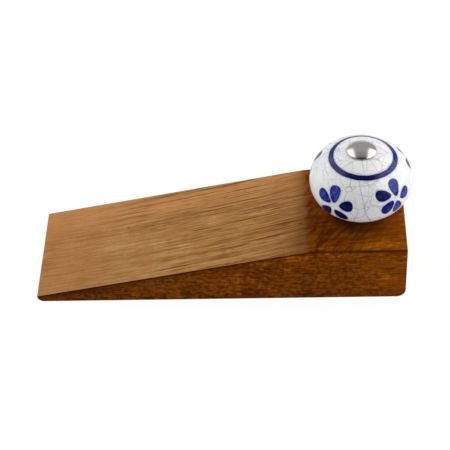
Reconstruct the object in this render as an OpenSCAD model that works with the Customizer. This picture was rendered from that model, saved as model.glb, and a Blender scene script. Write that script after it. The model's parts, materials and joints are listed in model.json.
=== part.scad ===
// Door stop: a hardwood wedge with a round glazed ceramic knob bolted through its heel.
// The frame's origin is the centre of the wedge's underside. +X runs from the thin tip to the
// tall heel, +Z is up, and all sizes are in millimetres.

/* [Wedge] */
// Length from the tip to the heel
wedge_l = 145; // [125:1:180]
// Width across the wedge
wedge_w = 48; // [32:1:70]
// Height at the heel
heel_h = 25; // [22:0.5:36]
// Height of the crisp top edge at the tip
tip_h = 2.8; // [2.8:0.1:6]
// Length of the level pad on top of the heel
pad_l = 38; // [32:1:46]
// Radius of the lower corner under the heel
heel_corner_r = 3.6; // [0.5:0.1:4]
// Radius of the lower corner under the tip
tip_corner_r = 2.6; // [0.5:0.1:2.7]
// Radius that softens the ridge between the slope and the pad
ridge_r = 26; // [5:1:45]

/* [Knob] */
// Diameter of the knob at its widest
knob_d = 40; // [38:0.5:44]
// Distance from the heel to the knob's axis
knob_inset = 17.2; // [14:0.1:19]
// Height of the rounded crown above the widest line
crown_b = 14.9; // [14:0.1:17]
// Depth of the rounded belly below the widest line
belly_b = 14.2; // [13.8:0.1:15]
// Diameter of the knob's foot
foot_d = 15; // [14:0.5:19]
// Height of the widest line above the pad
equator_h = 15.8; // [15:0.1:16.2]

/* [Cap] */
// Diameter of the polished dome cap
cap_d = 11.2; // [10.2:0.1:14]
// Rise of the dome above its rim
cap_rise = 1.8; // [1:0.1:3]
// Height of the cap's straight rim
cap_rim_h = 0.3; // [0.2:0.1:1.2]
// Length of the threaded barrel under the cap
barrel_l = 11; // [6:0.5:13]

/* [Fixings] */
// Thread diameter of the stud
stud_d = 5; // [4:0.5:6]
// Radial running clearance round the stud and the barrel
run_gap = 0.08; // [0.03:0.01:0.1]
// Diameter of the counterbore in the underside
sink_d = 16; // [14:0.5:20]
// Depth of the counterbore in the underside
sink_depth = 9; // [8.5:0.5:12]
// Diameter of the metal rose under the knob
rose_d = 15.8; // [15.4:0.2:22]
// Height of the metal rose
rose_t = 1.2; // [0.8:0.1:1.6]

/* [Hidden] */

$fn = 96;
// Overrun that lets a cutter pass clean through a face
eps = 0.5;
// Excess that lets an arc cross the line or arc that it would only touch
hair = 0.002;

// Wedge outline
slope_angle = atan((heel_h - tip_h) / (wedge_l - pad_l));
ridge_x = wedge_l / 2 - pad_l;

// The stack on the pad, as heights above the pad
knob_x = wedge_l / 2 - knob_inset;
knob_r = knob_d / 2;
gasket_z = rose_t;
gasket_t = 0.5;
gasket_d = foot_d - 2;
foot_z = gasket_z + gasket_t;
foot_edge_r = 0.5;
crown_side_r = knob_r * 0.6;
belly_side_r = knob_r * 0.49;

// The crown is cut level where it is a little wider than the cap
crown_top_r = big_arc_r(knob_r, crown_b, crown_side_r);
crown_seat_r = cap_d / 2 + 0.1;
seat_z = equator_h + crown_b - crown_top_r + sqrt(pow(crown_top_r, 2) - pow(crown_seat_r, 2));
cap_washer_t = 0.3;
cap_washer_d = cap_d - 2.5;
cap_z = seat_z + cap_washer_t;

// Barrel and stud
barrel_d = stud_d + 2;
barrel_pocket_l = barrel_l + 1;
cap_roof_t = 0.6;
stud_top_z = cap_z + cap_rim_h - cap_roof_t;
stud_low_z = 1.6;
thread_gap = 0.05;
stud_hole_d = stud_d + 0.6;
chamfer = 0.5;

// Fasteners in the counterbore, sized from the thread
washer_d = stud_d * 2.4;
washer_t = 1;
spring_d = stud_d * 1.7;
spring_t = 1.2;
spring_slit = 0.7;
nut_af = stud_d * 1.6;
nut_h = stud_d * 0.8;

// Radius of the wide arc that closes a half oval of half-width a and height b, when its side
// is an arc of radius side_r. The two arcs meet in a common tangent.
function big_arc_r(a, b, side_r) = (a * a + b * b - 2 * a * side_r) / (2 * (b - side_r));

// The quarter of a two-arc oval with x >= 0 and y >= 0. The side arc is a hair wide, so that it
// crosses the top arc instead of only touching it.
module quarter_oval(a, b, side_r) {
  top_r = big_arc_r(a, b, side_r);
  top_centre = [0, b - top_r];
  side_centre = [a - side_r, 0];
  beyond = top_r * 1.5;
  to_side = (side_centre - top_centre) / (top_r - side_r);
  intersection() {
    square([a, b]);
    union() {
      translate(side_centre - [hair, 0]) circle(side_r + hair);
      intersection() {
        translate(top_centre) circle(top_r);
        polygon([top_centre, top_centre + beyond * to_side, top_centre + [0, beyond]]);
      }
    }
  }
}

// Cuts a convex corner of a flat outline back to an arc of radius r. The corner's two sides
// leave it in the unit directions side_a and side_b. The arc is a hair wide, so that it
// crosses both sides instead of only touching them.
module corner_cutter(corner, side_a, side_b, r) {
  half_sin = norm(side_a - side_b) / 2;
  half_cos = norm(side_a + side_b) / 2;
  inward = (side_a + side_b) / norm(side_a + side_b);
  centre = corner + r / half_sin * inward;
  touch_a = corner + r * half_cos / half_sin * side_a;
  touch_b = corner + r * half_cos / half_sin * side_b;
  past = 1 + eps / r;
  difference() {
    polygon([corner - eps / half_sin * inward, centre + past * (touch_a - centre),
             centre, centre + past * (touch_b - centre)]);
    translate(centre) circle(r + hair);
  }
}

// Side view of the wedge, with X along its length and Y up
module wedge_outline() {
  heel_x = wedge_l / 2;
  down_slope = [-cos(slope_angle), -sin(slope_angle)];
  difference() {
    polygon([[-heel_x, 0], [heel_x, 0], [heel_x, heel_h], [ridge_x, heel_h], [-heel_x, tip_h]]);
    corner_cutter([heel_x, 0], [-1, 0], [0, 1], heel_corner_r);
    corner_cutter([-heel_x, 0], [0, 1], [1, 0], tip_corner_r);
    corner_cutter([ridge_x, heel_h], [1, 0], down_slope, ridge_r);
  }
}

// A ring standing on z, with a straight bore
module ring(outer_d, bore_d, height, z) {
  translate([0, 0, z]) difference() {
    cylinder(d = outer_d, h = height);
    translate([0, 0, -eps]) cylinder(d = bore_d, h = height + 2 * eps);
  }
}

// Moves its children from the knob's axis at the origin to the pad
module on_pad() {
  translate([knob_x, 0, heel_h]) children();
}

// Moves its children from the origin to the knob's axis under the wedge
module under_heel() {
  translate([knob_x, 0, 0]) children();
}

// Solid hardwood wedge, drilled for the stud and counterbored from below for the nut
module wedge_block() {
  color("peru") difference() {
    translate([0, wedge_w / 2, 0]) rotate([90, 0, 0]) linear_extrude(wedge_w) wedge_outline();
    under_heel() translate([0, 0, -eps]) cylinder(d = sink_d, h = sink_depth + eps);
    under_heel() cylinder(d = stud_hole_d, h = heel_h + eps);
  }
}

// Pressed metal plate with a rolled edge, between the knob and the wood
module base_rose() {
  bore_r = stud_hole_d / 2;
  roll_r = rose_t;
  color("silver") on_pad() rotate_extrude() {
    translate([bore_r, 0]) square([rose_d / 2 - roll_r - bore_r, rose_t]);
    intersection() {
      translate([rose_d / 2 - roll_r, 0]) circle(roll_r);
      translate([rose_d / 2 - roll_r, 0]) square(roll_r);
    }
  }
}

// Thin soft washer under the knob's foot
module rose_gasket() {
  color("dimgray") on_pad() ring(gasket_d, stud_hole_d, gasket_t, gasket_z);
}

// Half section of the knob: X is the radius, Y is the height above the pad. The straight foot
// reaches up into the belly.
module knob_section() {
  difference() {
    union() {
      intersection() {
        translate([0, equator_h]) union() {
          quarter_oval(knob_r, crown_b, crown_side_r);
          mirror([0, 1]) quarter_oval(knob_r, belly_b, belly_side_r);
        }
        translate([0, foot_z]) square([knob_r, seat_z - foot_z]);
      }
      translate([0, foot_z]) square([foot_d / 2, belly_b / 2]);
    }
    corner_cutter([foot_d / 2, foot_z], [-1, 0], [0, 1], foot_edge_r);
    square([stud_d / 2 + run_gap, seat_z + eps]);
    translate([0, seat_z - barrel_pocket_l]) square([barrel_d / 2 + run_gap, barrel_pocket_l + eps]);
  }
}

// Glazed ceramic knob: a flattened ball on a short foot, with a stepped bore
module ceramic_knob() {
  color("whitesmoke") on_pad() rotate_extrude() knob_section();
}

// Thin soft washer between the crown and the cap
module cap_washer() {
  color("dimgray") on_pad() ring(cap_washer_d, barrel_d + 2 * run_gap, cap_washer_t, seat_z);
}

// Polished dome on a short internally threaded barrel
module dome_cap() {
  dome_r = (pow(cap_d / 2, 2) + pow(cap_rise, 2)) / (2 * cap_rise);
  cap_h = cap_rim_h + cap_rise;
  color("lightgray") on_pad() difference() {
    union() {
      intersection() {
        translate([0, 0, cap_z]) cylinder(d = cap_d, h = cap_h + eps);
        translate([0, 0, cap_z + cap_h - dome_r]) sphere(dome_r);
      }
      translate([0, 0, cap_z - barrel_l]) cylinder(d = barrel_d, h = barrel_l + eps);
    }
    translate([0, 0, cap_z - barrel_l - eps])
      cylinder(r = stud_d / 2 + thread_gap, h = stud_top_z - cap_z + barrel_l + eps);
  }
}

// Threaded rod from the cap's barrel down to the nut, with chamfered ends
module threaded_stud() {
  low = stud_low_z;
  high = heel_h + stud_top_z;
  core_r = stud_d / 2 - chamfer;
  color("silver") under_heel() rotate_extrude()
    polygon([[0, low], [core_r, low], [stud_d / 2, low + chamfer], [stud_d / 2, high - chamfer],
             [core_r, high], [0, high]]);
}

// Flat washer against the roof of the counterbore
module flat_washer() {
  color("silver") under_heel() ring(washer_d, stud_hole_d, washer_t, sink_depth - washer_t);
}

// Split spring washer, pressed flat, with a slanting slit
module spring_washer() {
  top = sink_depth - washer_t;
  slant = 30;
  color("silver") under_heel() difference() {
    ring(spring_d, stud_hole_d, spring_t, top - spring_t);
    translate([spring_d / 2, 0, top - spring_t / 2]) rotate([slant, 0, 0])
      cube([spring_d, spring_slit, spring_t * 3], center = true);
  }
}

// Hexagon nut with chamfered corners on both faces
module hex_nut() {
  z = sink_depth - washer_t - spring_t - nut_h;
  corner_r = nut_af / 2 / cos(30);
  corner_drop = (corner_r - nut_af / 2) * tan(30);
  color("silver") under_heel() difference() {
    intersection() {
      translate([0, 0, z]) cylinder(r = corner_r, h = nut_h, $fn = 6);
      rotate_extrude()
        polygon([[0, z], [nut_af / 2, z], [corner_r, z + corner_drop],
                 [corner_r, z + nut_h - corner_drop], [nut_af / 2, z + nut_h], [0, z + nut_h]]);
    }
    translate([0, 0, z - eps]) cylinder(r = stud_d / 2 + thread_gap, h = nut_h + 2 * eps);
  }
}

wedge_block();
base_rose();
rose_gasket();
ceramic_knob();
cap_washer();
dome_cap();
threaded_stud();
flat_washer();
spring_washer();
hex_nut();
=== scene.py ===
"""Looks of the door stop: a hardwood wedge with a crackle-glazed ceramic knob bolted to its heel.

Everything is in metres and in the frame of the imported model. The wedge, the knob, the cap and
the stud are built here as finer meshes, and the other parts keep their CAD meshes.
"""
import json
import math

import bmesh
import bpy
from mathutils import Matrix, Vector


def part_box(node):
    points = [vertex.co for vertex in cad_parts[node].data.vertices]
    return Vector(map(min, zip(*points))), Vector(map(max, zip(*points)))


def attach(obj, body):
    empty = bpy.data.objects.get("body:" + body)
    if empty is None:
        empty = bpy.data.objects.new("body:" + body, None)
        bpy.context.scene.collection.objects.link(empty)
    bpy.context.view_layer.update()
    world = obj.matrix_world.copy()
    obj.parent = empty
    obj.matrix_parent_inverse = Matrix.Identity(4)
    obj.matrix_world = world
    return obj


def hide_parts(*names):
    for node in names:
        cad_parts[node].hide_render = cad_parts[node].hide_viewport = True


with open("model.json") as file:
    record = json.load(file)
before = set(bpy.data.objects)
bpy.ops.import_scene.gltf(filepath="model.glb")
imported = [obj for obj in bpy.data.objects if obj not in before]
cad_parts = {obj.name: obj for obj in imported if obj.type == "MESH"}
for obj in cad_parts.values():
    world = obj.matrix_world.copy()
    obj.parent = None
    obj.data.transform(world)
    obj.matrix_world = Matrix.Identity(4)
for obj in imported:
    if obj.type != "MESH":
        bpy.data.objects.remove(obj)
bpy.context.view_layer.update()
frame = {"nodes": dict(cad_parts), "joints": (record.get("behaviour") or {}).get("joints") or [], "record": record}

MM = 0.001

# ---------------------------------------------------------------------------------------------
# Places and sizes taken from the frame
# ---------------------------------------------------------------------------------------------

WEDGE_LOW, WEDGE_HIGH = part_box("wedge_block")
KNOB_LOW, KNOB_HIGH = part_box("ceramic_knob")
CAP_LOW, CAP_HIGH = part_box("dome_cap")
STUD_LOW, STUD_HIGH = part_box("threaded_stud")
_, WASHER_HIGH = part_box("flat_washer")
PAD_Z = WEDGE_HIGH.z
KNOB_R = (KNOB_HIGH.y - KNOB_LOW.y) / 2
STUD_R = (STUD_HIGH.y - STUD_LOW.y) / 2
SWIVEL = Vector(frame["joints"][0]["pos_m"])
AXIS_X = SWIVEL.x
SLOPE = next(m for m in frame["record"]["mounts"] if m["name"] == "door_slope")

# Finer dimensions of the wedge
HEEL_CORNER_R = 3.6 * MM
TIP_CORNER_R = 2.6 * MM
RIDGE_R = 26 * MM
EASED_EDGE = 0.45 * MM
SINK_R = 8 * MM
SINK_DEPTH = WASHER_HIGH.z
SINK_CHAMFER = 0.35 * MM
STUD_HOLE_R = STUD_R + 0.3 * MM

# Finer dimensions of the knob, the cap and the stud
CROWN_B = 14.9 * MM
BELLY_B = 14.2 * MM
CROWN_SIDE_R = 0.6 * KNOB_R
BELLY_SIDE_R = 0.49 * KNOB_R
FOOT_R = 7.5 * MM
GLAZE_DIP = 0.12 * MM
RUN_GAP = 0.08 * MM
BARREL_R = STUD_R + 1 * MM
BARREL_L = 11 * MM
POCKET_ROOM = 1 * MM
CAP_RISE = 1.8 * MM
THREAD_PITCH = 0.8 * MM
THREAD_DEPTH = 0.45 * MM

# Overrun that lets a cutter pass clean through a face
OVERRUN = 1 * MM
# Edges that turn by more than this angle are sharp
SHARP_ANGLE = math.radians(30)


# ---------------------------------------------------------------------------------------------
# Mesh helpers
# ---------------------------------------------------------------------------------------------

def arc(centre, radius, start, end, steps):
    """Points on an arc from start to end degrees, as (x, y) pairs."""
    angles = [math.radians(start + (end - start) * i / steps) for i in range(steps + 1)]
    return [(centre[0] + radius * math.cos(a), centre[1] + radius * math.sin(a)) for a in angles]


def shade(mesh, sharp_angle=SHARP_ANGLE):
    """Shades the mesh smooth, apart from the edges that turn by more than sharp_angle."""
    mesh.shade_smooth()
    mesh.set_sharp_from_angle(angle=sharp_angle)


def mesh_object(name, bm, sharp_angle=SHARP_ANGLE):
    """Turns a bmesh into an object in the scene."""
    bmesh.ops.recalc_face_normals(bm, faces=bm.faces)
    mesh = bpy.data.meshes.new(name)
    bm.to_mesh(mesh)
    bm.free()
    obj = bpy.data.objects.new(name, mesh)
    bpy.context.scene.collection.objects.link(obj)
    shade(mesh, sharp_angle)
    return obj


def apply_modifiers(obj):
    """Replaces the object's mesh with its evaluated mesh."""
    depsgraph = bpy.context.evaluated_depsgraph_get()
    finished = bpy.data.meshes.new_from_object(obj.evaluated_get(depsgraph))
    obj.modifiers.clear()
    obj.data = finished


def lathe(name, outline, segments, shape=None):
    """Turns a closed outline of (radius, z) points round the knob's axis.

    shape(radius, z, angle) may return a changed radius, for a surface that isn't quite round.
    """
    bm = bmesh.new()
    rings = []
    for i in range(segments):
        angle = 2 * math.pi * i / segments
        ring = []
        for radius, z in outline:
            r = shape(radius, z, angle) if shape else radius
            ring.append(bm.verts.new((AXIS_X + r * math.cos(angle), r * math.sin(angle), z)))
        rings.append(ring)
    count = len(outline)
    for i, ring in enumerate(rings):
        after = rings[(i + 1) % segments]
        for j in range(count):
            k = (j + 1) % count
            bm.faces.new((ring[j], after[j], after[k], ring[k]))
    bmesh.ops.remove_doubles(bm, verts=bm.verts, dist=1e-7)
    return mesh_object(name, bm)


# ---------------------------------------------------------------------------------------------
# The wedge
# ---------------------------------------------------------------------------------------------

def slope_line():
    """Height of the sloping top at the tip, the slope's angle and the x of the ridge."""
    point, normal = SLOPE["pos_m"], SLOPE["axis"]
    angle = math.atan2(-normal[0], normal[2])
    tip_z = point[2] + (WEDGE_LOW.x - point[0]) * math.tan(angle)
    ridge_x = point[0] + (PAD_Z - point[2]) / math.tan(angle)
    return tip_z, angle, ridge_x


def wedge_outline():
    """Side view of the wedge as (x, z) points, anticlockwise from the tip's lower corner."""
    tip_z, angle, ridge_x = slope_line()
    tip_x, heel_x = WEDGE_LOW.x, WEDGE_HIGH.x
    degrees = math.degrees(angle)
    ridge_run = RIDGE_R * math.tan(angle / 2)
    points = arc((tip_x + TIP_CORNER_R, TIP_CORNER_R), TIP_CORNER_R, 180, 270, 8)
    points += arc((heel_x - HEEL_CORNER_R, HEEL_CORNER_R), HEEL_CORNER_R, 270, 360, 8)
    points += [(heel_x, PAD_Z)]
    points += arc((ridge_x + ridge_run, PAD_Z - RIDGE_R), RIDGE_R, 90, 90 + degrees, 6)
    points += [(tip_x, tip_z)]
    return points


def cylinder_cutter(radius, low, high, chamfer=0):
    """A cutter on the knob's axis. It can also cut a chamfer round its hole in the sole."""
    if chamfer:
        hair = 0.01 * MM
        side = [(radius + chamfer, low), (radius + chamfer, -hair), (radius, chamfer)]
    else:
        side = [(radius, low)]
    return lathe("cutter", [(0, low)] + side + [(radius, high), (0, high)], 96)


def cut(obj, cutter):
    """Subtracts the cutter from the object and removes the cutter."""
    modifier = obj.modifiers.new("cut", "BOOLEAN")
    modifier.operation = "DIFFERENCE"
    modifier.solver = "EXACT"
    modifier.object = cutter
    apply_modifiers(obj)
    bpy.data.objects.remove(cutter)


def build_wedge():
    """The hardwood wedge with eased edges, its counterbore and the stud's hole."""
    bm = bmesh.new()
    front = [bm.verts.new((x, WEDGE_LOW.y, z)) for x, z in wedge_outline()]
    back = [bm.verts.new((x, WEDGE_HIGH.y, z)) for x, z in wedge_outline()]
    bm.faces.new(front)
    bm.faces.new(list(reversed(back)))
    count = len(front)
    for i in range(count):
        j = (i + 1) % count
        bm.faces.new((front[i], back[i], back[j], front[j]))
    bmesh.ops.recalc_face_normals(bm, faces=bm.faces)
    sharp = [e for e in bm.edges if e.calc_face_angle(0) > SHARP_ANGLE]
    bmesh.ops.bevel(bm, geom=sharp, offset=EASED_EDGE, segments=3, profile=0.5, affect="EDGES",
                    clamp_overlap=True)
    wedge = mesh_object("wedge_board", bm)
    cut(wedge, cylinder_cutter(SINK_R, -OVERRUN, SINK_DEPTH, SINK_CHAMFER))
    cut(wedge, cylinder_cutter(STUD_HOLE_R, SINK_DEPTH - OVERRUN, PAD_Z + OVERRUN))
    shade(wedge.data)
    return wedge


# ---------------------------------------------------------------------------------------------
# The knob, the cap and the stud
# ---------------------------------------------------------------------------------------------

def oval_radius(height):
    """Outer radius of the knob at a height above its widest line: two arcs in each half."""
    b, side_r = (CROWN_B, CROWN_SIDE_R) if height >= 0 else (BELLY_B, BELLY_SIDE_R)
    h = abs(height)
    top_r = (KNOB_R ** 2 + b ** 2 - 2 * KNOB_R * side_r) / (2 * (b - side_r))
    side_x, top_h = KNOB_R - side_r, b - top_r
    meet_h = top_h - top_h * top_r / (top_r - side_r)
    if h <= meet_h:
        return side_x + math.sqrt(max(0, side_r ** 2 - h ** 2))
    return math.sqrt(max(0, top_r ** 2 - (h - top_h) ** 2))


def knob_outline():
    """Half section of the knob as (radius, z) points, anticlockwise from the foot's bore."""
    bore_r, pocket_r = STUD_R + RUN_GAP, BARREL_R + RUN_GAP
    pocket_z = KNOB_HIGH.z - BARREL_L - POCKET_ROOM
    foot_round, seat_round, pocket_chamfer = 0.5 * MM, 0.25 * MM, 0.2 * MM
    # The belly ends where it is as narrow as the foot
    step = 0.02 * MM
    belly_z = SWIVEL.z - next(i * step for i in range(2000) if oval_radius(-i * step) < FOOT_R)
    points = [(bore_r, KNOB_LOW.z)]
    points += arc((FOOT_R - foot_round, KNOB_LOW.z + foot_round), foot_round, -90, 0, 4)
    steps = 64
    seat_z = KNOB_HIGH.z - seat_round * 0.3
    for i in range(steps + 1):
        # Cosine spacing puts more rings near the top and the foot, where the outline is most level
        z = belly_z + (seat_z - belly_z) * (1 - math.cos(math.pi * i / steps)) / 2
        points.append((oval_radius(z - SWIVEL.z), z))
    seat_r = points[-1][0]
    points += [(seat_r - seat_round * 0.5, KNOB_HIGH.z - seat_round * 0.08)]
    points += [(seat_r - seat_round, KNOB_HIGH.z), (pocket_r + pocket_chamfer, KNOB_HIGH.z)]
    points += [(pocket_r, KNOB_HIGH.z - pocket_chamfer), (pocket_r, pocket_z), (bore_r, pocket_z)]
    return points


def hand_made(radius, z, angle):
    """The glaze lies a little unevenly, so the outer surface dips by up to GLAZE_DIP."""
    twist = 0.12 / MM
    if radius < FOOT_R + 0.5 * MM:
        return radius
    wave = math.sin(2 * angle + 0.7) + math.sin(3 * angle - 1.1 + z * twist)
    return radius - GLAZE_DIP * (2 + wave) / 4


def build_knob():
    """The ceramic knob, with a slightly uneven hand-made surface."""
    return lathe("glazed_knob", knob_outline(), 160, hand_made)


def build_cap():
    """The dome cap, its eased rim and its threaded barrel."""
    cap_r = (CAP_HIGH.y - CAP_LOW.y) / 2
    under_z = CAP_LOW.z + BARREL_L
    rim_z = CAP_HIGH.z - CAP_RISE
    dome_r = (cap_r ** 2 + CAP_RISE ** 2) / (2 * CAP_RISE)
    half_angle = math.degrees(math.asin(cap_r / dome_r))
    ease, thread_gap = 0.1 * MM, 0.05 * MM
    hole_r = STUD_R + thread_gap
    points = [(0, CAP_HIGH.z)]
    dome = arc((0, CAP_HIGH.z - dome_r), dome_r, 90, 90 - half_angle, 24)
    points += dome[1:-1]
    points += [(cap_r - ease * 0.3, rim_z), (cap_r, rim_z - ease)]
    points += [(cap_r, under_z + ease), (cap_r - ease, under_z)]
    points += [(BARREL_R, under_z), (BARREL_R, CAP_LOW.z + ease), (BARREL_R - ease, CAP_LOW.z)]
    points += [(hole_r, CAP_LOW.z), (hole_r, STUD_HIGH.z), (0, STUD_HIGH.z)]
    return lathe("polished_dome", points, 128)


def build_stud():
    """The threaded rod: a symmetric thread wound round a core, with chamfered ends."""
    segments, per_turn = 40, 10
    rows = round((STUD_HIGH.z - STUD_LOW.z) / THREAD_PITCH * per_turn)
    bm = bmesh.new()
    rings = []
    for i in range(rows + 1):
        z = STUD_LOW.z + (STUD_HIGH.z - STUD_LOW.z) * i / rows
        to_end = min(z - STUD_LOW.z, STUD_HIGH.z - z)
        limit = STUD_R - 1.2 * THREAD_DEPTH + to_end
        ring = []
        for j in range(segments):
            turn = j / segments
            phase = (z / THREAD_PITCH - turn) % 1
            # A triangle wave with its root and its crest cut flat
            crest = min(1, max(0, 2.4 * (1 - abs(2 * phase - 1)) - 0.5))
            r = min(limit, STUD_R - THREAD_DEPTH * (1 - crest))
            angle = 2 * math.pi * turn
            ring.append(bm.verts.new((AXIS_X + r * math.cos(angle), r * math.sin(angle), z)))
        rings.append(ring)
    for low, high in zip(rings, rings[1:]):
        for j in range(segments):
            k = (j + 1) % segments
            bm.faces.new((low[j], low[k], high[k], high[j]))
    bm.faces.new(rings[0])
    bm.faces.new(list(reversed(rings[-1])))
    return mesh_object("threaded_rod", bm, math.radians(50))


# ---------------------------------------------------------------------------------------------
# Shader helpers
# ---------------------------------------------------------------------------------------------

class Nodes:
    """Short calls that add nodes to a node tree. Sockets and plain values are both accepted."""

    def __init__(self, tree):
        self.tree = tree

    def put(self, socket, value):
        """Links a socket, or sets a plain value."""
        if isinstance(value, bpy.types.NodeSocket):
            self.tree.links.new(value, socket)
        elif socket.type == "RGBA" and len(value) == 3:
            socket.default_value = (*value, 1)
        else:
            socket.default_value = value

    def node(self, kind, inputs=None, **settings):
        """Adds a node, sets its attributes and feeds its inputs."""
        made = self.tree.nodes.new(kind)
        for key, value in settings.items():
            setattr(made, key, value)
        for key, value in (inputs or {}).items():
            self.put(made.inputs[key], value)
        return made

    def math(self, operation, a, b=0.0, c=0.0):
        """Result of one calculation."""
        return self.node("ShaderNodeMath", {0: a, 1: b, 2: c}, operation=operation).outputs[0]

    def total(self, first, *others):
        """Sum of all the values."""
        for other in others:
            first = self.math("ADD", first, other)
        return first

    def product(self, first, *others):
        """Product of all the values."""
        for other in others:
            first = self.math("MULTIPLY", first, other)
        return first

    def vector(self, operation, a, b=(0, 0, 0)):
        """Result of one calculation with vectors: a number for a length or a dot product."""
        made = self.node("ShaderNodeVectorMath", {0: a, 1: b}, operation=operation)
        scalar = operation in ("LENGTH", "DOT_PRODUCT")
        return made.outputs["Value" if scalar else "Vector"]

    def combine(self, x, y, z):
        """Vector from its three parts."""
        return self.node("ShaderNodeCombineXYZ", {0: x, 1: y, 2: z}).outputs[0]

    def separate(self, vector):
        """The three parts of a vector."""
        return self.node("ShaderNodeSeparateXYZ", {0: vector}).outputs

    def position(self, centre=(0, 0, 0)):
        """Place on the object, in metres from centre. It turns with the piece."""
        place = self.node("ShaderNodeTexCoord").outputs["Object"]
        return self.vector("SUBTRACT", place, centre)

    def noise(self, vector, scale, detail=2.0, roughness=0.5):
        """Cloudy noise round 0.5, with about scale clouds to the metre."""
        inputs = {"Vector": vector, "Scale": scale, "Detail": detail, "Roughness": roughness}
        return self.node("ShaderNodeTexNoise", inputs).outputs["Fac"]

    def grain(self, vector, across, along, detail=2.0, roughness=0.5):
        """Noise in streaks that run along X, about across metres wide and along metres long."""
        squeezed = self.vector("MULTIPLY", vector, (across / along, 1, 1))
        return self.noise(squeezed, 1 / across, detail, roughness)

    def warp(self, vector, size, amount, detail=1.0):
        """Bends a coordinate by up to amount metres, in waves of about size metres."""
        inputs = {"Vector": vector, "Scale": 1 / size, "Detail": detail}
        noise = self.node("ShaderNodeTexNoise", inputs).outputs["Color"]
        centred = self.vector("SUBTRACT", noise, (0.5, 0.5, 0.5))
        bend = self.vector("MULTIPLY", centred, (2 * amount, 2 * amount, 2 * amount))
        return self.vector("ADD", vector, bend)

    def span(self, value, low, high, to_low=0.0, to_high=1.0):
        """Maps low..high to to_low..to_high with soft ends. Values beyond are held."""
        inputs = {0: value, 1: low, 2: high, 3: to_low, 4: to_high}
        return self.node("ShaderNodeMapRange", inputs, interpolation_type="SMOOTHSTEP").outputs[0]

    def mix(self, factor, a, b, blend="MIX"):
        """Mixes two colours or coordinates: a where the factor is 0, b where it is 1."""
        made = self.node("ShaderNodeMix", data_type="RGBA", blend_type=blend)
        self.put(made.inputs[0], factor)
        self.put(made.inputs[6], a)
        self.put(made.inputs[7], b)
        return made.outputs[2]

    def ramp(self, factor, stops):
        """Colour from a row of (place, colour) stops."""
        made = self.node("ShaderNodeValToRGB", {0: factor})
        elements = made.color_ramp.elements
        elements[0].position, elements[1].position = stops[0][0], stops[-1][0]
        elements[0].color, elements[1].color = (*stops[0][1], 1), (*stops[-1][1], 1)
        for place, colour in stops[1:-1]:
            elements.new(place).color = (*colour, 1)
        return made.outputs[0]

    def bump(self, height, distance, strength):
        """Bump from a height of 0 to 1, where 1 stands distance metres proud."""
        inputs = {"Height": height, "Distance": distance, "Strength": strength}
        return self.node("ShaderNodeBump", inputs).outputs[0]

    def edge_mask(self, radius):
        """1 along worn edges, 0 on open faces."""
        rounded = self.node("ShaderNodeBevel", {"Radius": radius}, samples=6).outputs[0]
        flat = self.node("ShaderNodeNewGeometry").outputs["Normal"]
        agreement = self.vector("DOT_PRODUCT", rounded, flat)
        return self.span(agreement, 0.995, 0.88)

    def rounded_edges(self, normal):
        """1 where a surface turns between two of the main directions, as its eased edges do."""
        sizes = [self.math("ABSOLUTE", part) for part in self.separate(normal)]
        most = self.math("MAXIMUM", self.math("MAXIMUM", sizes[0], sizes[1]), sizes[2])
        return self.span(most, 0.985, 0.92)


class Shader(Nodes):
    """A material and the calls that add nodes to it."""

    def __init__(self, name):
        self.material = bpy.data.materials.new(name)
        self.material.use_nodes = True
        super().__init__(self.material.node_tree)
        self.bsdf = self.tree.nodes["Principled BSDF"]

    def set(self, **inputs):
        """Sets inputs of the Principled BSDF. Underscores stand for spaces."""
        for key, value in inputs.items():
            self.put(self.bsdf.inputs[key.replace("_", " ")], value)

    def finish(self, *objects):
        """Gives the material to the objects, in place of any they have."""
        for obj in objects:
            obj.data.materials.clear()
            obj.data.materials.append(self.material)


# ---------------------------------------------------------------------------------------------
# Wood
# ---------------------------------------------------------------------------------------------

# Colours of the grain from dark to pale, each with the tone at which it sits. OILED is the wood
# that keeps its oil. The slope's colours are painted paler: painted light for its sheen and brighter light.
OILED = (
    (0.38, (0.10, 0.018, 0.0)),
    (0.46, (0.235, 0.052, 0.0)),
    (0.54, (0.34, 0.088, 0.0005)),
    (0.64, (0.50, 0.165, 0.014)),
)
SLOPE_LIT = (
    (0.36, (0.25, 0.095, 0.022)),
    (0.46, (0.42, 0.20, 0.063)),
    (0.54, (0.49, 0.255, 0.092)),
    (0.66, (0.60, 0.35, 0.16)),
)
OILED_LINE, SLOPE_LIT_LINE = (0.095, 0.019, 0.0), (0.15, 0.05, 0.009)
OILED_RED, SLOPE_LIT_RED = (0.20, 0.036, 0.0015), (0.44, 0.17, 0.052)
OILED_OLIVE, SLOPE_LIT_OLIVE = (0.27, 0.082, 0.003), (0.43, 0.235, 0.062)

# Marks of use on the oiled faces, on the slope and on the edges, and painted shade: the knob's
# painted shadow and contact shade, and painted shade beside the ridge and below the top edge
KNOB_SHADOW_TONE = (0.10, 0.024, 0.0008)
KNOB_CONTACT_SHADE = (0.03, 0.005, 0.0)
THIN_END_OIL = (0.10, 0.020, 0.0005)
THIN_END_TAN = (0.43, 0.16, 0.048)
BACK_TAN = (0.60, 0.25, 0.085)
SLOPE_KNOB_SHADOW = (0.21, 0.075, 0.015)
RIDGE_SHADE = (0.24, 0.09, 0.02)
SPECK = (0.045, 0.012, 0.001)
SPECKS_PER_METRE = 62
BARE_EDGE = (0.50, 0.27, 0.11)
BLACK_EDGE = (0.02, 0.004, 0.0)
POOLED_OIL = (0.045, 0.010, 0.0)
BELOW_EDGE_SHADE = (0.05, 0.012, 0.0)

# Tints that multiply the colour under them
FLECK_TINT = (0.55, 0.47, 0.35)
GLEAM_TINT = (1.45, 1.55, 1.9)

# How far back the grain has shifted at x along the board: GRAIN_SLANT times x and GRAIN_SWEEP times
# its square. So it is parallel to the board at the tip and turns further back toward the heel.
GRAIN_SLANT = 0.065
GRAIN_SWEEP = 0.45


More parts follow.
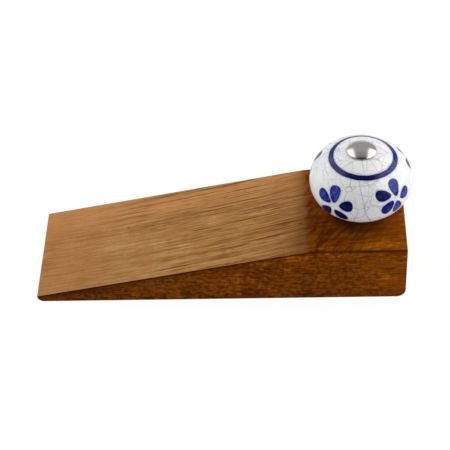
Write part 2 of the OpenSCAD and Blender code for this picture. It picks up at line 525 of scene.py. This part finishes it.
class Hardwood(Shader):
    """Oiled hardwood. Each method makes one layer of it, and the layers share these coordinates.

    The slope is painted paler, painted light for the sheen and brighter light on its tilted face.
    The pad, the sides and the ends keep the darker oil, and their figure is wavy.
    """

    def __init__(self):
        super().__init__("oiled_hardwood")
        self.place = self.position()
        self.x, self.y, self.z = self.separate(self.place)
        self.knob_x, self.knob_y, _ = self.separate(self.vector("SUBTRACT", self.place, SWIVEL))
        self.inward = self.math("SUBTRACT", WEDGE_HIGH.y, self.math("ABSOLUTE", self.y))
        self.normal = self.node("ShaderNodeNewGeometry").outputs["Normal"]
        self.normal_x, _, self.normal_z = self.separate(self.normal)
        self.faces_up = self.span(self.normal_z, 0.8, 0.93)
        self.set_grain()

    def set_grain(self):
        """The grain's coordinates, the mask of the slope and the layers of the grain."""
        slant = self.total(self.product(self.x, GRAIN_SWEEP), GRAIN_SLANT)
        swept = self.vector("SUBTRACT", self.place, self.combine(0, self.product(self.x, slant), 0))
        straight = self.warp(swept, 60 * MM, 0.35 * MM)
        self.wavy = self.warp(swept, 7 * MM, 0.6 * MM, 2)
        self.slope = self.slope_mask(swept)
        # On the slope the streaks follow the surface, on the rest they follow the board
        flat = self.vector("MULTIPLY", straight, (1, 1, 0))
        flat = self.vector("ADD", flat, (0, 0, PAD_Z))
        self.bent = self.mix(self.slope, self.wavy, flat)
        # Each layer of the grain is a number of times longer than it is wide
        self.bands = self.grain(self.bent, 3.2 * MM, 60 * MM)
        self.streaks = self.grain(self.bent, 0.85 * MM, 22 * MM, 3, 0.6)
        self.fibres = self.grain(self.bent, 0.55 * MM, 6 * MM, 3, 0.65)
        self.clouds = self.noise(self.place, 1 / (16 * MM), 3, 0.55)
        self.pores = self.span(self.grain(self.bent, 0.5 * MM, 4 * MM), 0.58, 0.68)
        self.lines = self.hairlines()

    def slope_mask(self, swept):
        """1 on the slope and 0 on the rest. Its end is ragged and reaches further at the front."""
        feather = self.math("SUBTRACT", self.grain(swept, 2.5 * MM, 8 * MM, 4, 0.7), 0.5)
        facing = self.total(self.normal_x, self.product(self.y, 0.96))
        facing = self.total(facing, self.product(feather, 0.12))
        return self.product(self.span(facing, -0.05, -0.19), self.faces_up)

    def on_slope(self, elsewhere, there):
        """A value that differs between the oiled faces and the slope."""
        return self.span(self.slope, 0, 1, elsewhere, there)

    def hairlines(self):
        """1 on dark hairlines, crowded in some areas and sparse in others."""
        long_lines = self.span(self.grain(self.bent, 0.85 * MM, 45 * MM), 0.575, 0.63)
        moved = self.vector("ADD", self.bent, (0.2, 0.1, 0))
        fine_lines = self.span(self.grain(moved, 0.7 * MM, 22 * MM), 0.56, 0.64)
        lines = self.math("MAXIMUM", long_lines, self.product(fine_lines, 0.8))
        crowd = self.span(self.noise(self.place, 1 / (24 * MM), 2), 0.36, 0.56, 0.55, 1.0)
        crowd = self.product(crowd, self.span(self.x, -50 * MM, -15 * MM, 0.45, 1.0))
        return self.product(lines, crowd)

    def tone(self):
        """Lightness of the grain, about 0.5. Streaks on the slope are strongest near the ridge."""
        tone = self.product(self.bands, 0.22)
        tone = self.total(tone, self.product(self.streaks, 0.26))
        tone = self.total(tone, self.product(self.fibres, 0.34))
        tone = self.total(tone, self.product(self.clouds, 0.18))
        fuzz = self.math("SUBTRACT", self.grain(self.bent, 0.8 * MM, 4 * MM, 2, 0.6), 0.5)
        tone = self.math("MULTIPLY_ADD", fuzz, self.on_slope(0.35, 0.22), tone)
        lively = self.product(self.span(self.x, -50 * MM, 0, 0.08, 0.45), self.slope)
        streaky = self.math("SUBTRACT", self.streaks, 0.5)
        return self.math("MULTIPLY_ADD", streaky, lively, tone)

    def near_knob(self, shift, outer, inner):
        """1 on the pad within inner of a point shift along from the knob's axis, 0 past outer."""
        off = self.combine(self.math("SUBTRACT", self.knob_x, shift), self.knob_y, 0)
        return self.product(self.span(self.vector("LENGTH", off), outer, inner), self.faces_up)

    def oiled(self, tone, redder, olive):
        """The oiled faces, with the knob's painted shadow and contact shade round it, and darker toward the thin
        end.
        """
        colour = self.ramp(tone, OILED)
        # Painted shadow of the knob on the pad, wide and soft, then darker painted contact shade close round its
        # foot
        knob_shadow = self.near_knob(-8 * MM, 31 * MM, 16 * MM)
        colour = self.mix(self.product(knob_shadow, 0.36), colour, KNOB_SHADOW_TONE)
        contact_shade = self.near_knob(1 * MM, 16 * MM, 11 * MM)
        colour = self.mix(self.product(contact_shade, 0.8), colour, KNOB_CONTACT_SHADE)
        thin_end = self.span(self.knob_x, -70 * MM, -130 * MM, 0, 0.4)
        colour = self.mix(thin_end, colour, THIN_END_OIL)
        colour = self.mix(self.product(redder, 0.5), colour, OILED_RED)
        return self.mix(self.product(olive, 0.45), colour, OILED_OLIVE)

    def lit_slope(self, tone, redder, olive):
        """The slope in paler colours, painted light for its sheen; tan toward its thin end and its back, with the
        knob's painted shadow at its front and painted shade beside the ridge.
        """
        colour = self.ramp(tone, SLOPE_LIT)
        colour = self.mix(self.product(redder, 0.5), colour, SLOPE_LIT_RED)
        colour = self.mix(self.span(self.x, -30 * MM, -70 * MM, 0, 0.55), colour, THIN_END_TAN)
        colour = self.mix(self.span(self.y, 6 * MM, 20 * MM, 0, 0.55), colour, BACK_TAN)
        colour = self.mix(self.product(olive, 0.4), colour, SLOPE_LIT_OLIVE)
        # Painted shadow of the knob on the front of the slope near the ridge
        near_ridge = self.span(self.knob_x, -36 * MM, -20 * MM)
        near_front = self.span(self.knob_y, -2 * MM, -19 * MM)
        colour = self.mix(self.product(near_ridge, near_front, 0.85), colour, SLOPE_KNOB_SHADOW)
        # Painted shade beside the ridge
        _, _, ridge_x = slope_line()
        beside_ridge = self.span(self.x, ridge_x - 7 * MM, ridge_x - 1 * MM, 0, 0.6)
        return self.mix(beside_ridge, colour, RIDGE_SHADE)

    def ground(self):
        """The board's colour with its hairlines and pores."""
        moved = self.vector("ADD", self.place, (0.3, 0, 0))
        redder = self.span(self.noise(moved, 1 / (11 * MM), 3, 0.6), 0.45, 0.68)
        moved = self.vector("ADD", self.bent, (0, 0.3, 0.1))
        olive = self.span(self.grain(moved, 3.5 * MM, 80 * MM), 0.46, 0.6)
        tone = self.tone()
        oiled = self.oiled(tone, redder, olive)
        lit_slope = self.lit_slope(tone, redder, olive)
        # The slope takes its paler colours: painted light for its sheen and brighter light
        colour = self.mix(self.slope, oiled, lit_slope)
        dark = self.mix(self.slope, OILED_LINE, SLOPE_LIT_LINE)
        colour = self.mix(self.product(self.lines, self.on_slope(0.55, 0.9)), colour, dark)
        return self.mix(self.product(self.pores, self.on_slope(0.75, 0.4)), colour, dark)

    def add_figure(self, colour):
        """Slanting dark flecks on the oiled faces, and faint pale waves across the grain."""
        slanting = self.node("ShaderNodeVectorRotate",
                             {"Vector": self.wavy, "Angle": math.radians(-55)},
                             rotation_type="Z_AXIS").outputs[0]
        flecks = self.span(self.grain(slanting, 1.5 * MM, 6 * MM, 3), 0.45, 0.62)
        flecks = self.product(flecks, self.span(self.knob_x, 15 * MM, -10 * MM, 0.3, 1.0))
        flecks = self.product(flecks, self.math("SUBTRACT", 1, self.slope))
        colour = self.mix(flecks, colour, self.mix(1, colour, FLECK_TINT, "MULTIPLY"))
        squeezed = self.vector("MULTIPLY", self.bent, (1, 0.25, 0.25))
        waves = self.span(self.noise(squeezed, 1 / (1.5 * MM)), 0.48, 0.66)
        waves = self.product(waves, self.span(self.clouds, 0.4, 0.6), self.on_slope(0.5, 0.15))
        return self.mix(waves, colour, self.mix(1, colour, GLEAM_TINT, "MULTIPLY"))

    def add_specks(self, colour):
        """A few small dark specks."""
        settings = {"Vector": self.place, "Scale": SPECKS_PER_METRE, "Randomness": 1.0}
        cells = self.node("ShaderNodeTexVoronoi", settings).outputs
        spot = self.span(cells["Distance"], 0.055, 0.03)
        chosen = self.math("GREATER_THAN", self.separate(cells["Color"])[0], 0.62)
        return self.mix(self.product(spot, chosen, 0.7), colour, SPECK)

    def add_edges(self, colour):
        """Edges are worn pale in places round the slope and are dark with oil round the rest."""
        edge = self.rounded_edges(self.normal)
        worn = self.product(edge, self.span(self.noise(self.place, 240, 3), 0.3, 0.65))
        worn = self.product(worn, self.slope, 0.45)
        colour = self.mix(worn, colour, BARE_EDGE)
        blackened = self.product(edge, self.span(self.inward, 1.2 * MM, 0.6 * MM))
        blackened = self.product(blackened, self.on_slope(0.95, 0))
        return self.mix(blackened, colour, BLACK_EDGE)

    def add_pooled_oil_and_shade(self, colour):
        """A dark line of oil along the top edge, and a band of painted shade below it toward the thin end."""
        tip_z, angle, _ = slope_line()
        rise = math.tan(angle)
        top_z = self.math("MULTIPLY_ADD", self.x, rise, tip_z - WEDGE_LOW.x * rise)
        top_z = self.math("MINIMUM", top_z, PAD_Z)
        below = self.math("SUBTRACT", top_z, self.z)
        pooled = self.span(self.total(below, self.inward), 1.1 * MM, 0.5 * MM)
        colour = self.mix(self.product(pooled, self.on_slope(0.65, 0)), colour, POOLED_OIL)
        # Painted shade on the sides just below the top edge, strongest toward the thin end
        edge_shade = self.product(self.span(below, 5 * MM, 0.5 * MM), self.span(self.normal_z, 0.7, 0.3))
        edge_shade = self.product(edge_shade, self.span(self.x, 20 * MM, -20 * MM, 0, 0.55))
        return self.mix(edge_shade, colour, BELOW_EDGE_SHADE)

    def relief(self):
        """Bump of the fibres, with the pores and the hairlines sunk."""
        height = self.total(self.product(self.fibres, 0.7), self.product(self.streaks, 0.3))
        height = self.math("SUBTRACT", height, self.product(self.pores, 0.8))
        height = self.math("SUBTRACT", height, self.product(self.lines, 0.4))
        return self.bump(height, 0.05 * MM, 0.5)


def wood_material():
    """The board's material: ground colour, figure, specks, edges, and oil with painted shade, in that order."""
    wood = Hardwood()
    colour = wood.ground()
    for add_layer in (wood.add_figure, wood.add_specks, wood.add_edges, wood.add_pooled_oil_and_shade):
        colour = add_layer(colour)
    coarse = wood.total(wood.fibres, wood.product(wood.pores, 0.4))
    wood.set(Base_Color=colour, Normal=wood.relief(),
             Roughness=wood.span(coarse, 0.3, 0.9, 0.42, 0.58))
    # Dry oil hardly shines, and what it reflects is brown
    wood.set(Specular_IOR_Level=0.05, Specular_Tint=(1.0, 0.5, 0.15))
    return wood


# ---------------------------------------------------------------------------------------------
# Crackle glaze with painted ring and flowers
# ---------------------------------------------------------------------------------------------

# Colours of the plates between the cracks, from one end of their random tint to the other
PLATE_TINTS = (
    (0.0, (0.82, 0.87, 0.84)),
    (0.3, (0.89, 0.90, 0.88)),
    (0.7, (0.90, 0.89, 0.90)),
    (1.0, (0.89, 0.84, 0.87)),
)
MOTTLE = (0.80, 0.81, 0.83)
CRACK_STAIN = (0.29, 0.30, 0.34)
BARE_CLAY = (0.62, 0.56, 0.48)

# The paint where it is thick and thin, where the brush has left the glaze bare, and over a crack
COBALT_THICK = (0.001, 0.0015, 0.05)
COBALT_THIN = (0.016, 0.040, 0.45)
COBALT_BARE = (0.16, 0.20, 0.52)
COBALT_CRACK = (0.04, 0.05, 0.2)
HALO_TINT = (0.56, 0.60, 1.0)

# Three generations of cracks: the size of the plates between them, their greatest half-width, and
# a shift that keeps their patterns apart
LONG_CRACKS = (10 * MM, 0.2 * MM, 0.036)
PLATE_CRACKS = (5 * MM, 0.2 * MM, 0.143)
FINE_CRACKS = (2.4 * MM, 0.11 * MM, 0.219)

# Petals painted by hand. Each has the place of its root and of its tip, in millimetres round the
# knob and up from the flower's centre, and how thin its paint is, from 0 to 1.
PETALS_A = (
    ((0.1, 1.6), (-0.9, 8.4), 0.9),
    ((-1.4, 1.3), (-7.8, 3.2), 0.85),
    ((-1.3, -1.1), (-5.3, -6.2), 0.1),
    ((0.6, -1.3), (5.0, -5.8), 0.0),
    ((2.3, 1.0), (7.6, 2.1), 0.1),
)
PETALS_B = (
    ((0.6, 0.7), (1.2, 7.6), 0.8),
    ((-1.6, 2.0), (-7.7, 3.7), 0.1),
    ((-1.1, -0.7), (-6.2, -4.3), 0.35),
    ((0.4, -1.3), (0.9, -7.0), 0.6),
    ((2.3, -0.9), (7.4, 0.0), 0.8),
)
# Each flower's angle from the knob's front in degrees, its height above the widest line and its
# petals
FLOWERS = (
    (-34.0, 1.0 * MM, PETALS_A),
    (39.5, 3.3 * MM, PETALS_B),
    (113, 2.8 * MM, PETALS_B),
    (180.0, 2.6 * MM, PETALS_A),
    (-113, 2.5 * MM, PETALS_B),
)
PETAL_HALF_WIDTH = 2.2 * MM

# The ring on the crown. It lies a little off the knob's axis, and RING_SQUEEZE narrows it from
# front to back.
RING_R = 12.25 * MM
RING_HALF_WIDTH = 0.93 * MM
RING_SHIFT = (0.6 * MM, -0.6 * MM)
RING_SQUEEZE = 1.035


def petal_group():
    """Node group: distance in metres outside a petal. Place, Root and Direction are flat."""
    group = bpy.data.node_groups.new("painted_petal", "ShaderNodeTree")
    for name, kind in (("Place", "Vector"), ("Root", "Vector"), ("Direction", "Vector"),
                       ("Length", "Float")):
        group.interface.new_socket(name, in_out="INPUT", socket_type="NodeSocket" + kind)
    group.interface.new_socket("Distance", in_out="OUTPUT", socket_type="NodeSocketFloat")
    s = Nodes(group)
    place, root, direction, length = s.node("NodeGroupInput").outputs[0:4]
    off_root = s.vector("SUBTRACT", place, root)
    along = s.vector("DOT_PRODUCT", off_root, direction)
    across = s.vector("LENGTH", s.vector("CROSS_PRODUCT", off_root, direction))
    share = s.math("DIVIDE", along, length)
    held = s.math("MINIMUM", s.math("MAXIMUM", share, 0), 1)
    # A teardrop: pointed at its root, widest past the middle and round at its tip. The factor of
    # 1.55 brings its widest place to about PETAL_HALF_WIDTH.
    pointed = s.math("POWER", held, 0.55)
    rounded = s.math("SQRT", s.math("SUBTRACT", 1, s.math("POWER", held, 3)))
    half_width = s.product(pointed, rounded, 1.55 * PETAL_HALF_WIDTH)
    beside = s.math("SUBTRACT", across, half_width)
    beyond = s.product(s.math("ABSOLUTE", s.math("SUBTRACT", share, held)), length)
    s.put(s.node("NodeGroupOutput").inputs[0], s.total(beside, beyond))
    return group


def flowers(s, angle, height, radius):
    """Distance outside the nearest petal of any flower, in metres, and how thin its paint is."""
    group = petal_group()
    nearest, thinness = 1.0, 0.0
    for azimuth, centre_height, petals in FLOWERS:
        turned = s.math("SUBTRACT", angle, math.radians(azimuth))
        turned = s.math("WRAP", turned, math.pi, -math.pi)
        above = s.math("SUBTRACT", height, centre_height)
        flat_place = s.combine(s.product(turned, radius), above, 0)
        for root, tip, thin in petals:
            root, tip = Vector((*root, 0)) * MM, Vector((*tip, 0)) * MM
            petal = s.node("ShaderNodeGroup", node_tree=group)
            s.put(petal.inputs["Place"], flat_place)
            s.put(petal.inputs["Root"], root)
            s.put(petal.inputs["Direction"], (tip - root).normalized())
            s.put(petal.inputs["Length"], (tip - root).length)
            closer = s.math("LESS_THAN", petal.outputs[0], nearest)
            change = s.math("SUBTRACT", thin, thinness)
            thinness = s.math("MULTIPLY_ADD", closer, change, thinness)
            nearest = s.math("MINIMUM", nearest, petal.outputs[0])
    return nearest, thinness


# Where the cracks that run all the way down start under the ring, in degrees from the knob's
# front. Each drifts to the right by so many degrees to the millimetre on its way down.
MAIN_CRACKS = (-6, 63, 131, 204, 280)
MAIN_CRACK_HALF_WIDTH = 0.16 * MM
MAIN_CRACK_TOP = 13.5 * MM
MAIN_CRACK_DRIFT = math.radians(0.75) / MM


def main_crack(s, place, start):
    """1 on a long crack that wanders from the ring down to the belly."""
    x, y, z = s.separate(place)
    radius = s.vector("LENGTH", s.combine(x, y, 0))
    height = s.product(s.math("ARCTAN2", z, radius), KNOB_R)
    turn = s.product(s.math("SUBTRACT", MAIN_CRACK_TOP, height), MAIN_CRACK_DRIFT)
    angle = s.math("SUBTRACT", s.math("ARCTAN2", x, s.product(y, -1)), start)
    off = s.math("WRAP", s.math("SUBTRACT", angle, turn), math.pi, -math.pi)
    across = s.product(s.math("ABSOLUTE", off), radius)
    line = s.span(across, MAIN_CRACK_HALF_WIDTH, 0.3 * MAIN_CRACK_HALF_WIDTH)
    return s.product(line, s.math("LESS_THAN", height, MAIN_CRACK_TOP))


def cracks(s, place, cell, width, shift):
    """1 on the thin cracks between polygon plates about one cell across, and the plates' tint."""
    moved = s.vector("ADD", place, (shift, shift * 0.7, -shift))
    settings = {"Vector": moved, "Scale": 1 / cell, "Randomness": 0.9}
    edge = s.node("ShaderNodeTexVoronoi", settings, feature="DISTANCE_TO_EDGE").outputs["Distance"]
    line = s.span(edge, width / cell, 0.25 * width / cell)
    plates = s.node("ShaderNodeTexVoronoi", settings, feature="F1").outputs["Color"]
    return line, plates


def crackle(s, place):
    """1 on the stained cracks, and the tint of the plates between them."""
    wavy = s.warp(place, 5 * MM, 0.4 * MM, 2)
    long_line, _ = cracks(s, wavy, *LONG_CRACKS)
    plate_line, tint = cracks(s, wavy, *PLATE_CRACKS)
    fine_line, _ = cracks(s, wavy, *FINE_CRACKS)
    # The fine net lies in patches only, and all three fade in places
    patch = s.span(s.noise(place, 95), 0.46, 0.62)
    fade = s.span(s.noise(place, 330), 0.3, 0.62, 0.3, 1.0)
    crack = s.math("MAXIMUM", s.product(long_line, 0.8), s.product(plate_line, 0.85))
    crack = s.math("MAXIMUM", crack, s.product(fine_line, patch, 0.5))
    crack = s.product(crack, fade)
    for start in MAIN_CRACKS:
        crack = s.math("MAXIMUM", crack, main_crack(s, wavy, math.radians(start)))
    # Tea and dust have stained the cracks most at the front and the back
    x, _, z = s.separate(place)
    above_foot = s.span(z, -13 * MM, -11 * MM)
    stain = s.span(s.math("ABSOLUTE", x), 9 * MM, 17 * MM, 1.0, 0.4)
    return s.product(crack, above_foot, stain), tint


def ring_distance(s, painted):
    """Distance outside the ring on the crown, in metres. It is a little off centre and oval."""
    shifted = s.vector("SUBTRACT", painted, (*RING_SHIFT, 0))
    radius = s.vector("LENGTH", s.vector("MULTIPLY", shifted, (1, RING_SQUEEZE, 0)))
    off = s.math("ABSOLUTE", s.math("SUBTRACT", radius, RING_R))
    off = s.math("SUBTRACT", off, RING_HALF_WIDTH)
    # The belly has the same radius somewhere, so everything below the widest line is far away
    below = s.math("SUBTRACT", 1, s.math("GREATER_THAN", s.separate(painted)[2], 0))
    return s.total(off, below)


def painting(s, place):
    """Distance outside the nearest brush stroke, in metres, and how thin its paint is, with the ring's painted
    reflection at its sides.
    """
    painted = s.warp(place, 3 * MM, 0.16 * MM, 2)
    x, y, z = s.separate(painted)
    radius = s.vector("LENGTH", s.combine(x, y, 0))
    angle = s.math("ARCTAN2", x, s.product(y, -1))
    height = s.product(s.math("ARCTAN2", z, radius), 0.975 * KNOB_R)
    ring = ring_distance(s, painted)
    petals, petal_thinness = flowers(s, angle, height, radius)
    # The ring's paint is thick at the front and the back. At the sides it is painted paler, a painted reflection
    # of the side lights, broken up by thinner brush strokes
    ring_paint_and_sheen = s.span(s.math("ABSOLUTE", x), 5 * MM, 11 * MM, 0, 0.75)
    strokes = s.span(s.noise(place, 1 / (4 * MM)), 0.4, 0.6, 0.2, 1.0)
    ring_paint_and_sheen = s.product(ring_paint_and_sheen, strokes)
    on_petal = s.math("LESS_THAN", petals, ring)
    change = s.math("SUBTRACT", petal_thinness, ring_paint_and_sheen)
    thinness = s.math("MULTIPLY_ADD", on_petal, change, ring_paint_and_sheen)
    return s.math("MINIMUM", ring, petals), thinness


def cobalt_colour(s, place, paint, thinness, crack):
    """Brushwork: paint pools darker at its edges and thins along the stroke."""
    depth = s.span(paint, -0.15 * MM, -0.8 * MM)
    brush = s.noise(s.vector("MULTIPLY", place, (1, 1, 0.55)), 1 / MM, 3, 0.65)
    thin = s.total(s.product(thinness, 0.95), 0.05)
    thin = s.product(thin, depth, s.span(brush, 0.34, 0.56, 0.1, 1.1))
    colour = s.mix(thin, COBALT_THICK, COBALT_THIN)
    bare = s.product(s.span(brush, 0.54, 0.68), thin, 0.45)
    colour = s.mix(bare, colour, COBALT_BARE)
    return s.mix(s.product(crack, 0.2), colour, COBALT_CRACK)


def glaze_material():
    """White crackle glaze over cobalt brushwork: a ring round the crown and five flowers."""
    s = Shader("crackle_glaze")
    place = s.position(SWIVEL)
    height = s.separate(place)[2]
    crack, tint = crackle(s, place)
    paint, thinness = painting(s, place)
    mask = s.span(paint, 0.09 * MM, -0.09 * MM)
    halo = s.span(paint, 0.9 * MM, 0)
    foot_z = KNOB_LOW.z - SWIVEL.z
    foot = s.span(height, foot_z + 0.35 * MM, foot_z + 0.1 * MM)

    # Off-white plates with faint green, pink and grey tints, then the paint and the bare foot
    white = s.ramp(s.separate(tint)[0], PLATE_TINTS)
    mottle = s.span(s.noise(place, 420, 3, 0.6), 0.4, 0.7, 0, 0.3)
    white = s.mix(mottle, white, MOTTLE)
    colour = s.mix(s.product(crack, 0.72), white, CRACK_STAIN)
    colour = s.mix(s.product(halo, 0.65), colour, HALO_TINT, "MULTIPLY")
    colour = s.mix(mask, colour, cobalt_colour(s, place, paint, thinness, crack))
    colour = s.mix(foot, colour, BARE_CLAY)

    waves = s.product(s.noise(place, 70), 2)
    surface = s.math("SUBTRACT", waves, s.product(crack, 0.35))
    roughness = s.total(s.product(crack, 0.18), s.product(foot, 0.6), 0.07)
    # The glaze is thinner and duller toward the foot and over the paint
    sheen = s.span(height, -7 * MM, 0, 0.15, 0.5)
    over_paint = s.span(height, -4 * MM, 6 * MM, 0.25, 0.5)
    sheen = s.product(sheen, s.span(mask, 0, 1, 1, over_paint))
    s.set(Base_Color=colour, Roughness=roughness, Normal=s.bump(surface, 0.05 * MM, 0.6),
          IOR=1.52, Specular_IOR_Level=sheen)
    return s


# ---------------------------------------------------------------------------------------------
# Metals and soft washers
# ---------------------------------------------------------------------------------------------

WORN_METAL = (0.85, 0.85, 0.84)
SOFT_BLACK, SOFT_DUST = (0.018, 0.018, 0.019), (0.055, 0.053, 0.05)


def metal_material(name, colour, dark, roughness, turned):
    """Metal with fine wear. turned is the strength of the concentric lathe lines."""
    s = Shader(name)
    place = s.position((AXIS_X, 0, 0))
    x, y, z = s.separate(place)
    radius = s.vector("LENGTH", s.combine(x, y, 0))
    lines = s.noise(s.combine(radius, z, 0), 9000, 2, 0.6)
    cloud = s.noise(place, 500, 4, 0.6)
    scratch = s.noise(s.vector("MULTIPLY", place, (1, 0.08, 1)), 5200)
    tarnished = s.mix(s.span(cloud, 0.35, 0.7, 0, 0.5), colour, dark)
    worn = s.mix(s.product(s.edge_mask(0.15 * MM), 0.4), tarnished, WORN_METAL)
    rough = s.total(roughness, s.product(cloud, 0.35 * roughness))
    rough = s.total(rough, s.product(s.span(scratch, 0.62, 0.75), 0.06))
    s.set(Base_Color=worn, Metallic=1, Roughness=rough, Normal=s.bump(lines, 0.004 * MM, turned))
    return s


def soft_material():
    """Black fibre and rubber washers: matt, with a dusty fine grain."""
    s = Shader("soft_washer")
    dust = s.noise(s.position(), 2600, 3, 0.7)
    colour = s.mix(s.span(dust, 0.4, 0.75, 0, 0.6), SOFT_BLACK, SOFT_DUST)
    s.set(Base_Color=colour, Roughness=s.span(dust, 0.3, 0.7, 0.62, 0.82),
          Normal=s.bump(dust, 0.03 * MM, 0.6))
    return s


# ---------------------------------------------------------------------------------------------
# Put the object together
# ---------------------------------------------------------------------------------------------

def place_piece(piece, node, body, shader):
    """Stands the piece in for a CAD node, on its body, with its finish."""
    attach(piece, body)
    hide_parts(node)
    shader.finish(piece)


def build_object():
    """The four pieces built here, and finishes for the CAD nodes that stay."""
    polished = metal_material("polished_metal", (0.54, 0.53, 0.50), (0.47, 0.46, 0.43), 0.16, 0.25)
    zinc = metal_material("zinc_steel", (0.62, 0.63, 0.64), (0.44, 0.45, 0.46), 0.34, 0.5)
    nickel = metal_material("nickel_plate", (0.68, 0.66, 0.62), (0.55, 0.53, 0.5), 0.24, 0.4)
    place_piece(build_wedge(), "wedge_block", "wedge", wood_material())
    place_piece(build_knob(), "ceramic_knob", "knob", glaze_material())
    place_piece(build_cap(), "dome_cap", "wedge", polished)
    place_piece(build_stud(), "threaded_stud", "wedge", zinc)
    nodes = frame["nodes"]
    zinc.finish(nodes["hex_nut"], nodes["flat_washer"], nodes["spring_washer"])
    nickel.finish(nodes["base_rose"])
    soft_material().finish(nodes["rose_gasket"], nodes["cap_washer"])


# ---------------------------------------------------------------------------------------------
# Stage, light and camera
# ---------------------------------------------------------------------------------------------

FLOOR_SIZE = 6
# The floor lies a hair under the sole, so that the two don't share a plane
FLOOR_DROP = 0.02 * MM
FLOOR_GREY, CARD_GREY = (0.86, 0.86, 0.86), (0.05, 0.05, 0.05)
FLOOR_GLOW = 1.06
FLOOR_GLOW_SHARE = 0.88


def build_floor():
    """A pale floor, seen only from above so that the underside can be looked at.

    To the camera it glows a little, which keeps the shadow on it faint.
    """
    bm = bmesh.new()
    bmesh.ops.create_grid(bm, x_segments=1, y_segments=1, size=FLOOR_SIZE)
    floor = mesh_object("floor", bm)
    floor.location = (0, 0, -FLOOR_DROP)
    s = Shader("pale_floor")
    ray = s.node("ShaderNodeLightPath").outputs
    # A dark card lies in front of the object: it shows only in reflections, where it keeps the
    # dark paint and the oil dark
    card = s.span(s.separate(s.position())[1], -28 * MM, -45 * MM)
    card = s.product(card, ray["Is Glossy Ray"])
    s.set(Base_Color=s.mix(card, FLOOR_GREY, CARD_GREY), Roughness=0.9, Specular_IOR_Level=0)
    glow = s.node("ShaderNodeEmission", {"Color": (1, 1, 1), "Strength": FLOOR_GLOW}).outputs[0]
    share = s.product(ray["Is Camera Ray"], FLOOR_GLOW_SHARE)
    lit = s.node("ShaderNodeMixShader", {0: share, 1: s.bsdf.outputs[0], 2: glow}).outputs[0]
    behind = s.node("ShaderNodeNewGeometry").outputs["Backfacing"]
    see_through = s.node("ShaderNodeBsdfTransparent").outputs[0]
    chooser = s.node("ShaderNodeMixShader", {0: behind, 1: lit, 2: see_through}).outputs[0]
    s.put(s.tree.nodes["Material Output"].inputs["Surface"], chooser)
    s.finish(floor)


# Soft lights of the studio. Each fills the part of the sky whose direction lies in a range of x
# and of y, with soft edges, and has a brightness. A bound beyond 1 or -1 is no bound.
ANYWHERE = (-2, 2)
SOFT_LIGHTS = (
    # across,       front to back, brightness
    ((-2, -0.46), (-0.1, 0.73), 1.95),
    ((-2, -0.46), (-2, -0.1), 0.75),
    ((0.46, 2), (-0.1, 0.65), 2.6),
    ((0.46, 2), (-0.5, -0.1), 2.6),
    ((0.46, 2), (-2, -0.5), 0.25),
    (ANYWHERE, (0.73, 2), 0.5),
    ((-0.46, 0.46), (0.25, 0.73), 0.5),
    ((-0.46, 0.46), (-0.2, 0.25), 0.36),
)
LIGHT_EDGE = 0.09
AMBIENT = 0.02
BACKDROP = 0.99


def soft_light(s, direction, ranges, brightness):
    """Brightness of one light of the studio, by direction."""
    light = brightness
    for component, (low, high) in zip(direction, ranges):
        if low > -1:
            light = s.product(light, s.span(component, low - LIGHT_EDGE, low + LIGHT_EDGE))
        if high < 1:
            light = s.product(light, s.span(component, high + LIGHT_EDGE, high - LIGHT_EDGE))
    return light


def build_light():
    """A white studio whose soft lights have no hard edges, so that they don't show as boxes."""
    world = bpy.data.worlds.new("studio")
    bpy.context.scene.world = world
    world.use_nodes = True
    s = Nodes(world.node_tree)
    direction = s.separate(s.node("ShaderNodeTexCoord").outputs["Generated"])
    lights = [soft_light(s, direction, ranges, power) for *ranges, power in SOFT_LIGHTS]
    lit = s.total(AMBIENT, *lights)
    # The camera sees a plain pale backdrop
    seen = s.node("ShaderNodeLightPath").outputs["Is Camera Ray"]
    lit = s.product(lit, s.math("SUBTRACT", 1, seen))
    background = world.node_tree.nodes["Background"]
    s.put(background.inputs["Color"], (1, 1, 1))
    s.put(background.inputs["Strength"], s.total(lit, s.product(seen, BACKDROP)))
    bpy.context.scene.view_settings.view_transform = "Standard"


def build_camera():
    """Camera at the viewing angle of the reference view, a little rolled, with a long lens."""
    azimuth, elevation, roll = math.radians(3.09), math.radians(43.31), math.radians(-3.01)
    distance, shift_right, shift_up = 0.645, 1.23 * MM, 12.68 * MM
    back = Vector((math.sin(azimuth) * math.cos(elevation),
                   -math.cos(azimuth) * math.cos(elevation), math.sin(elevation)))
    level = (-back).cross(Vector((0, 0, 1))).normalized()
    upright = level.cross(-back)
    right = math.cos(roll) * level + math.sin(roll) * upright
    up = -math.sin(roll) * level + math.cos(roll) * upright
    camera = bpy.data.cameras.new("camera")
    camera.sensor_width = 36
    camera.lens = 127.4
    camera.clip_start, camera.clip_end = 0.01, 50
    obj = bpy.data.objects.new("camera", camera)
    bpy.context.scene.collection.objects.link(obj)
    turn = Matrix((right, up, back)).transposed().to_4x4()
    place = back * distance + right * shift_right + up * shift_up
    obj.matrix_world = Matrix.Translation(place) @ turn
    bpy.context.scene.camera = obj


build_object()
build_floor()
build_light()
build_camera()
